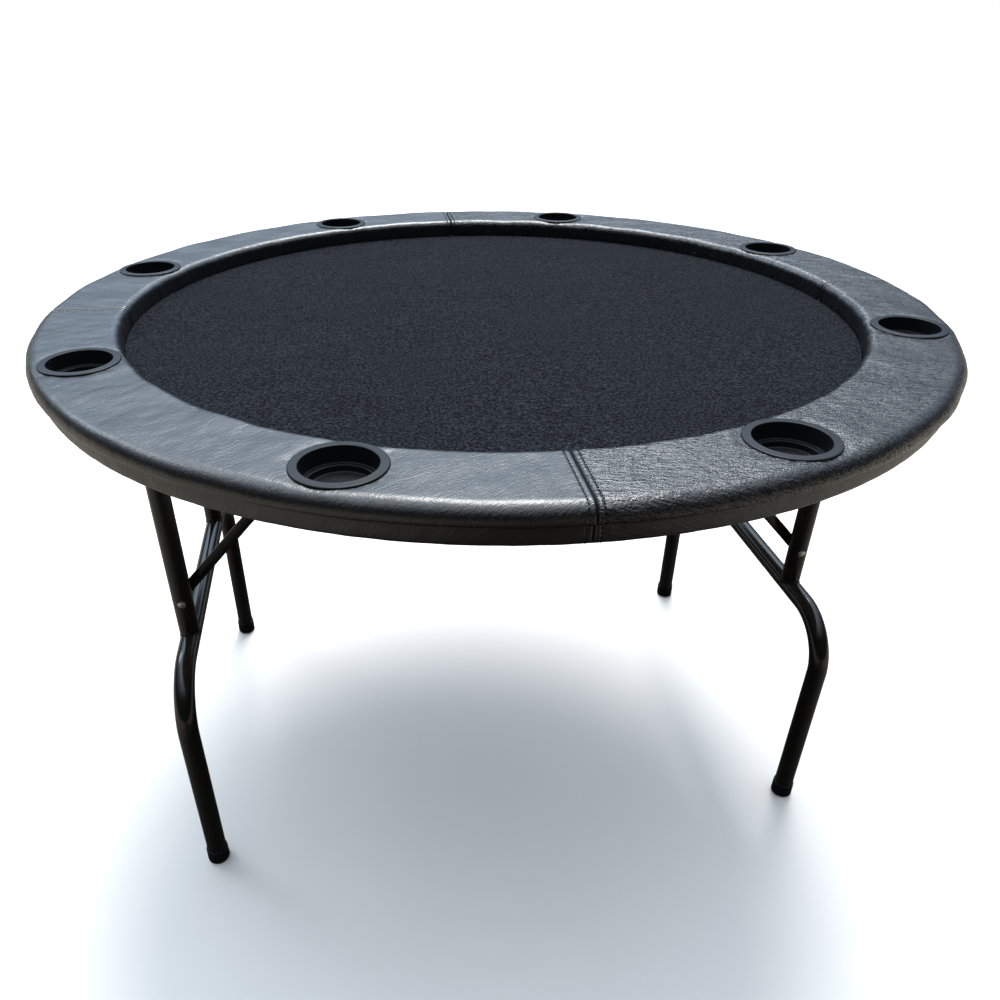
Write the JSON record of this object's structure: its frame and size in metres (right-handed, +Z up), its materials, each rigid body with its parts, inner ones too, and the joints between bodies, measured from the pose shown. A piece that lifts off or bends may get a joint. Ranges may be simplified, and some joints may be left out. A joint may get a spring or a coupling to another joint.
{
  "type": "folding card table",
  "caption": "Round padded card table with a racetrack rail, cup holders in the rail, a felt playing field and two folding tubular leg sets held by two-piece braces.",
  "frame": {"origin": "on the floor under the middle of the round top", "axes": "+Z up; the two leg sets stand at -X and +X; the front is -Y"},
  "size_m": [1.216, 1.216, 0.78],
  "materials": {
    "vinyl": "semi-gloss black crinkle-grain vinyl, topstitched",
    "felt": "dark navy-charcoal speckled felt",
    "cup_plastic": "satin moulded black plastic",
    "cap_plastic": "satin black plastic",
    "enamel": "gloss black enamel",
    "zinc": "bright zinc plate",
    "plywood": "plain plywood",
    "fibreboard": "raw fibreboard",
    "foam": "open-cell foam"
  },
  "bodies": {
    "root": {"deck_board": "plywood", "surface_foam": "foam", "felt": "felt", "rail_core": "fibreboard", "rail_foam": "foam", "rail_cover_back_right": "vinyl", "rail_cover_back_left": "vinyl", "rail_cover_front_left": "vinyl", "rail_cover_front_right": "vinyl", "cup_holder_1": "cup_plastic", "cup_holder_2": "cup_plastic", "cup_holder_3": "cup_plastic", "cup_holder_4": "cup_plastic", "cup_holder_5": "cup_plastic", "cup_holder_6": "cup_plastic", "cup_holder_7": "cup_plastic", "cup_holder_8": "cup_plastic", "rail_screws": "zinc", "cover_staples": "zinc", "bracket_screws": "zinc", "anchor_screws": "zinc", "anchor_rivets": "zinc", "pivot_bracket_front_left": "cap_plastic", "pivot_bracket_back_left": "cap_plastic", "pivot_bracket_front_right": "cap_plastic", "pivot_bracket_back_right": "cap_plastic", "brace_anchor_front_left": "zinc", "brace_anchor_back_left": "zinc", "brace_anchor_front_right": "zinc", "brace_anchor_back_right": "zinc"},
    "left_leg": {"pivot_tube_left": "enamel", "pivot_plugs_left": "cap_plastic", "leg_tube_left": "enamel", "leg_rivets_left": "zinc", "post_front_left": "enamel", "post_back_left": "enamel", "foot_cap_front_left": "cap_plastic", "foot_cap_back_left": "cap_plastic"},
    "left_front_upper_brace": {"upper_brace_front_left": "enamel"},
    "left_front_lower_brace": {"lower_brace_front_left": "enamel", "elbow_rivet_front_left": "zinc"},
    "left_back_upper_brace": {"upper_brace_back_left": "enamel"},
    "left_back_lower_brace": {"lower_brace_back_left": "enamel", "elbow_rivet_back_left": "zinc"},
    "right_leg": {"pivot_tube_right": "enamel", "pivot_plugs_right": "cap_plastic", "leg_tube_right": "enamel", "leg_rivets_right": "zinc", "post_front_right": "enamel", "post_back_right": "enamel", "foot_cap_front_right": "cap_plastic", "foot_cap_back_right": "cap_plastic"},
    "right_front_upper_brace": {"upper_brace_front_right": "enamel"},
    "right_front_lower_brace": {"lower_brace_front_right": "enamel", "elbow_rivet_front_right": "zinc"},
    "right_back_upper_brace": {"upper_brace_back_right": "enamel"},
    "right_back_lower_brace": {"lower_brace_back_right": "enamel", "elbow_rivet_back_right": "zinc"}
  },
  "joints": [
    {"name": "left_leg_fold", "type": "hinge", "parent": "root", "child": "left_leg", "pos_m": [-0.468, 0, 0.714], "axis": [0, -1, 0], "range_deg": [0, 90]},
    {"name": "left_front_upper_brace_turn", "type": "hinge", "parent": "root", "child": "left_front_upper_brace", "pos_m": [-0.184, -0.1391, 0.714], "axis": [0, 1, 0], "range_deg": [0, 47.34]},
    {"name": "left_front_lower_brace_turn", "type": "hinge", "parent": "left_leg", "child": "left_front_lower_brace", "pos_m": [-0.468, -0.1449, 0.409], "axis": [0, -1, 0], "range_deg": [0, 43.26]},
    {"name": "left_back_upper_brace_turn", "type": "hinge", "parent": "root", "child": "left_back_upper_brace", "pos_m": [-0.184, 0.1391, 0.714], "axis": [0, 1, 0], "range_deg": [0, 47.34]},
    {"name": "left_back_lower_brace_turn", "type": "hinge", "parent": "left_leg", "child": "left_back_lower_brace", "pos_m": [-0.468, 0.1449, 0.409], "axis": [0, -1, 0], "range_deg": [0, 43.26]},
    {"name": "right_leg_fold", "type": "hinge", "parent": "root", "child": "right_leg", "pos_m": [0.468, 0, 0.714], "axis": [0, 1, 0], "range_deg": [0, 85]},
    {"name": "right_front_upper_brace_turn", "type": "hinge", "parent": "root", "child": "right_front_upper_brace", "pos_m": [0.184, -0.1391, 0.714], "axis": [0, -1, 0], "range_deg": [0, 46.26]},
    {"name": "right_front_lower_brace_turn", "type": "hinge", "parent": "right_leg", "child": "right_front_lower_brace", "pos_m": [0.468, -0.1449, 0.409], "axis": [0, 1, 0], "range_deg": [0, 42.27]},
    {"name": "right_back_upper_brace_turn", "type": "hinge", "parent": "root", "child": "right_back_upper_brace", "pos_m": [0.184, 0.1391, 0.714], "axis": [0, -1, 0], "range_deg": [0, 46.26]},
    {"name": "right_back_lower_brace_turn", "type": "hinge", "parent": "right_leg", "child": "right_back_lower_brace", "pos_m": [0.468, 0.1449, 0.409], "axis": [0, 1, 0], "range_deg": [0, 42.27]}
  ],
  "couplings": [
    {"joint": "left_front_upper_brace_turn", "follows": "left_leg_fold", "ratio": 0.52267},
    {"joint": "left_front_lower_brace_turn", "follows": "left_leg_fold", "ratio": 0.47733},
    {"joint": "left_back_upper_brace_turn", "follows": "left_leg_fold", "ratio": 0.52267},
    {"joint": "left_back_lower_brace_turn", "follows": "left_leg_fold", "ratio": 0.47733},
    {"joint": "right_front_upper_brace_turn", "follows": "right_leg_fold", "ratio": 0.54071},
    {"joint": "right_front_lower_brace_turn", "follows": "right_leg_fold", "ratio": 0.49376},
    {"joint": "right_back_upper_brace_turn", "follows": "right_leg_fold", "ratio": 0.54071},
    {"joint": "right_back_lower_brace_turn", "follows": "right_leg_fold", "ratio": 0.49376}
  ]
}
